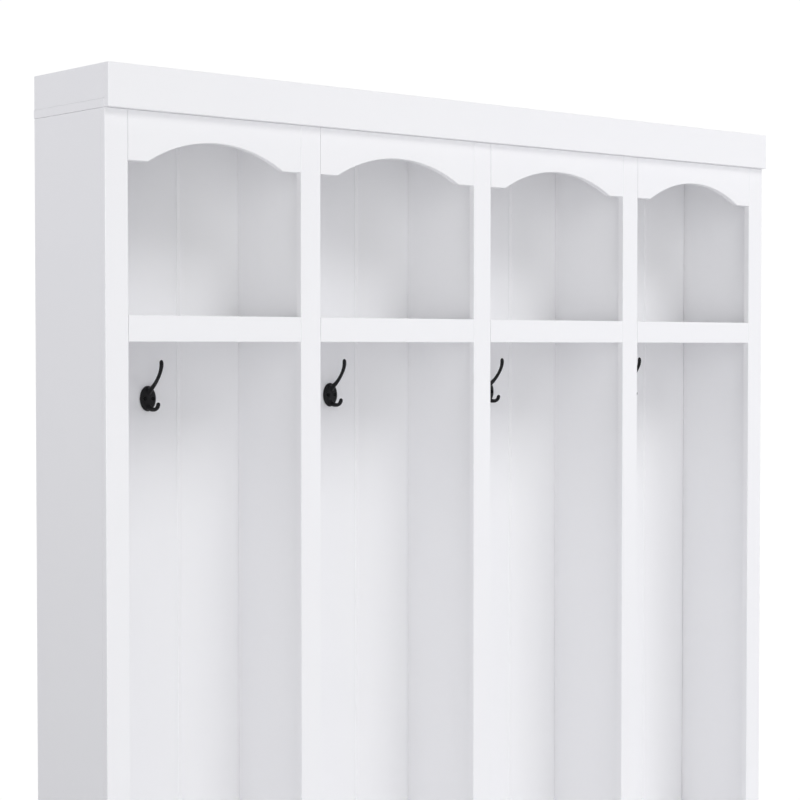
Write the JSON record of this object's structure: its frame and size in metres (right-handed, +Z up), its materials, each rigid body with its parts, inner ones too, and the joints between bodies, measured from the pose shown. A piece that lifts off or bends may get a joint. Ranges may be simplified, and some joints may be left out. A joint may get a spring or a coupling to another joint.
{
  "type": "hall tree",
  "caption": "Hall tree: an open bench with shoe cubbies, a shallow hutch with coat hooks, a shelf with arched cubbies above it, and a crown board around the top.",
  "frame": {"origin": "on the floor, at the middle of the object's width and depth", "axes": "+Z up, -Y towards the person who faces the hooks, +X to that person's right, +Y towards the wall"},
  "size_m": [1.477, 0.4, 1.83],
  "materials": {
    "white_board": "white satin paint on fibreboard",
    "black_cast": "matte black powder coat on cast zinc",
    "zinc_steel": "bright zinc plate",
    "grey_plastic": "moulded, fine grain"
  },
  "bodies": {
    "root": {"bench_left_side": "white_board", "bench_right_side": "white_board", "bench_floor": "white_board", "bench_back": "white_board", "bench_divider_1": "white_board", "bench_divider_2": "white_board", "bench_divider_3": "white_board", "toe_kick": "white_board", "rear_plinth": "white_board", "seat_board": "white_board", "bench_face_frame": "white_board", "left_side_panel": "white_board", "right_side_panel": "white_board", "divider_1": "white_board", "divider_2": "white_board", "divider_3": "white_board", "left_stile": "white_board", "stile_1": "white_board", "stile_2": "white_board", "stile_3": "white_board", "right_stile": "white_board", "shelf_rail_1": "white_board", "shelf_1": "white_board", "arched_valance_1": "white_board", "grooved_back_1": "white_board", "shelf_rail_2": "white_board", "shelf_2": "white_board", "arched_valance_2": "white_board", "grooved_back_2": "white_board", "shelf_rail_3": "white_board", "shelf_3": "white_board", "arched_valance_3": "white_board", "grooved_back_3": "white_board", "shelf_rail_4": "white_board", "shelf_4": "white_board", "arched_valance_4": "white_board", "grooved_back_4": "white_board", "top_board": "white_board", "crown_front": "white_board", "crown_left": "white_board", "crown_right": "white_board", "glide_front_left": "grey_plastic", "glide_front_right": "grey_plastic", "glide_rear_left": "grey_plastic", "glide_rear_right": "grey_plastic", "wall_bracket_left": "zinc_steel", "wall_bracket_right": "zinc_steel", "coat_hook_1": "black_cast", "hook_screw_1a": "black_cast", "hook_screw_1b": "black_cast", "coat_hook_2": "black_cast", "hook_screw_2a": "black_cast", "hook_screw_2b": "black_cast", "coat_hook_3": "black_cast", "hook_screw_3a": "black_cast", "hook_screw_3b": "black_cast", "coat_hook_4": "black_cast", "hook_screw_4a": "black_cast", "hook_screw_4b": "black_cast"}
  },
  "joints": []
}
